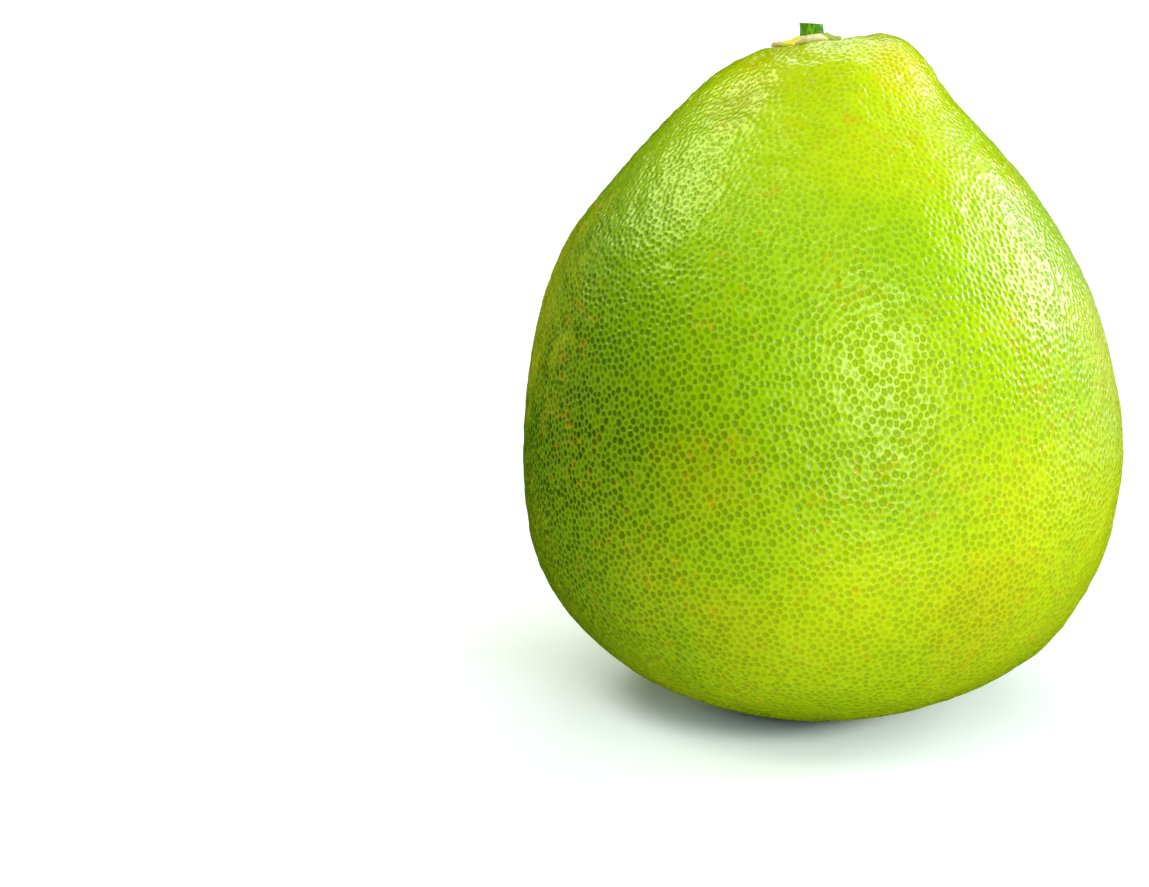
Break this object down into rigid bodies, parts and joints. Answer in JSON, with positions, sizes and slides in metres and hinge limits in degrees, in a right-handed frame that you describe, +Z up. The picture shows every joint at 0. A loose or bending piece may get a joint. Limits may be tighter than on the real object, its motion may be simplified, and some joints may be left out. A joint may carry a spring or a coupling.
{
  "type": "pomelo",
  "caption": "Whole green pear-shaped pomelo with a pitted glossy rind, a small lobed calyx and a cut stem stub, resting on its blossom end.",
  "frame": {"origin": "middle of the flat spot at the blossom end, on the surface that the fruit rests on", "axes": "+Z up towards the stem; the stem end leans towards +Y, and the crown is a little higher on its +X side; the front faces -Y"},
  "size_m": [0.1542, 0.1547, 0.1739],
  "materials": {
    "rind": "waxy citrus rind, lime green with darker sunken oil glands in a paler raised net, semi-gloss",
    "calyx": "dry yellow-brown calyx, matt, greener at its rim",
    "stem": "smooth green twig bark with a pale cut end, satin"
  },
  "bodies": {
    "root": {"fruit": "rind", "calyx": "calyx", "stem": "stem"}
  },
  "joints": []
}
